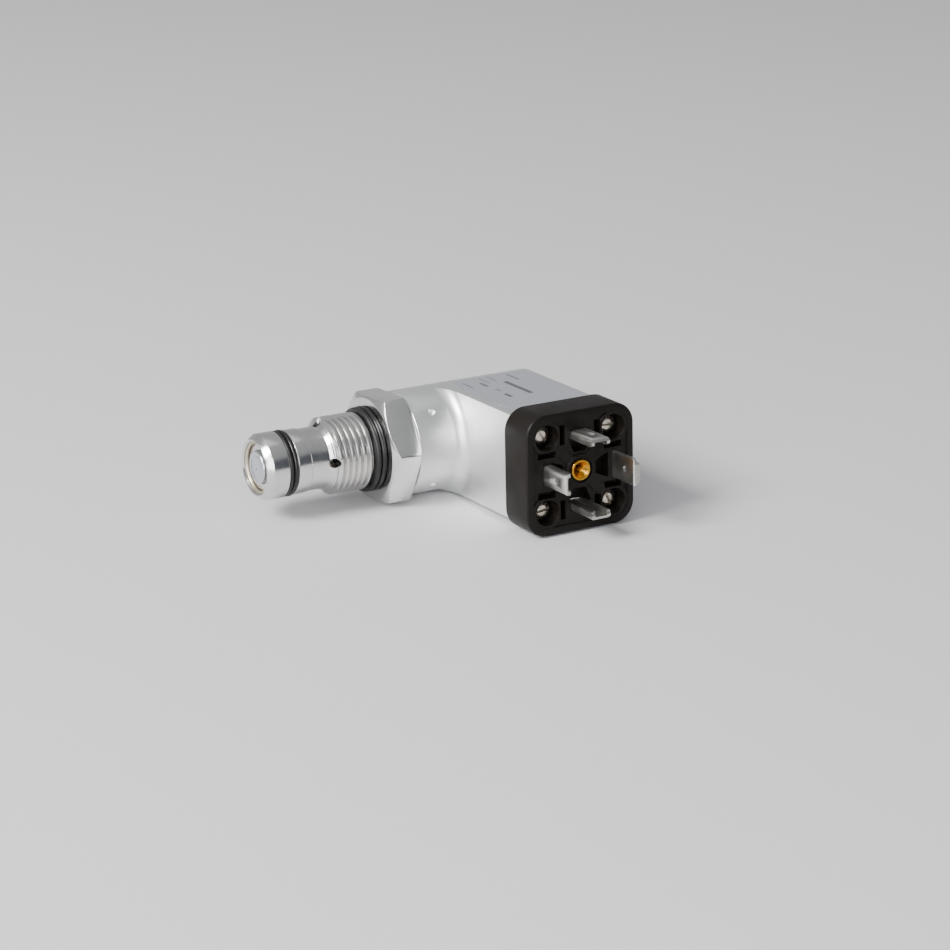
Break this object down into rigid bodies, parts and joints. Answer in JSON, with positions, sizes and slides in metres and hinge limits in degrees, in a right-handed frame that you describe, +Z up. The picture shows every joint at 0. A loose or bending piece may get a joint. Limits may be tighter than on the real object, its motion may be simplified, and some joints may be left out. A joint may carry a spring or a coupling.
{
  "type": "differential pressure switch cartridge",
  "caption": "Screw-in hydraulic cartridge: sealed nose with sprung sensing piston, threaded barrel and hexagon, and a square housing that swivels and ends in an electrical connector.",
  "frame": {"origin": "where the cartridge axis meets the hexagon's seat face", "axes": "+X along the cartridge axis from the seat face into the housing, so the nose points to -X; the connector faces -Y; +Z is up, towards the label"},
  "size_m": [0.0742, 0.0654, 0.028],
  "materials": {
    "machined_aluminium": "fine turned, bright",
    "satin_aluminium": "machined and clear anodised, satin",
    "label_foil": "printed aluminium foil, satin",
    "ground_steel": "ground",
    "spring_steel": "oil tempered wire, straw brown",
    "nickel_steel": "nickel plated",
    "tinned_copper": "tin plated, stamped",
    "brass": "turned",
    "nitrile_rubber": "moulded, slightly glossy",
    "hard_nitrile": "moulded, matt",
    "gasket_rubber": "red-brown sheet, matt",
    "black_nylon": "glass-filled, moulded, matt",
    "ferrite": "sintered",
    "reed_glass": "clear",
    "board_laminate": "green solder resist",
    "lead_red": "extruded",
    "lead_blue": "extruded",
    "lead_black": "extruded",
    "lead_green_yellow": "extruded"
  },
  "bodies": {
    "cartridge": {"cartridge_body": "machined_aluminium", "nose_backup_ring": "hard_nitrile", "nose_o_ring": "nitrile_rubber", "seat_backup_ring": "hard_nitrile", "seat_o_ring": "nitrile_rubber", "snap_ring": "spring_steel", "guide_bush": "machined_aluminium", "piston_spring": "spring_steel", "spring_washer": "ground_steel", "neck_seal": "nitrile_rubber"},
    "piston": {"sensing_piston": "ground_steel", "piston_seal": "nitrile_rubber", "magnet": "ferrite", "magnet_clip": "ground_steel"},
    "housing": {"housing": "satin_aluminium", "label": "label_foil", "flange_gasket": "gasket_rubber", "connector_base": "black_nylon", "centre_insert": "brass", "flange_screw_1": "nickel_steel", "flange_screw_2": "nickel_steel", "flange_screw_3": "nickel_steel", "flange_screw_4": "nickel_steel", "contact_1": "tinned_copper", "contact_2": "tinned_copper", "contact_3": "tinned_copper", "earth_contact": "tinned_copper", "switch_board": "board_laminate", "board_holder": "black_nylon", "reed_capsule": "reed_glass", "reed_lead_common": "tinned_copper", "reed_lead_open": "tinned_copper", "reed_lead_closed": "tinned_copper", "signal_lead_1": "lead_red", "signal_lead_2": "lead_blue", "signal_lead_3": "lead_black", "earth_lead": "lead_green_yellow", "earth_eyelet": "tinned_copper", "earth_screw": "nickel_steel"}
  },
  "joints": [
    {"name": "piston_slide", "type": "slide", "parent": "cartridge", "child": "piston", "axis": [1, 0, 0], "range_m": [0, 0.003], "stiffness_N_per_m": 2000, "springref_m": -0.006, "deforming": ["piston_spring"]},
    {"name": "housing_swivel", "type": "hinge", "parent": "cartridge", "child": "housing", "pos_m": [0, 0, 0], "axis": [1, 0, 0], "continuous": true}
  ]
}
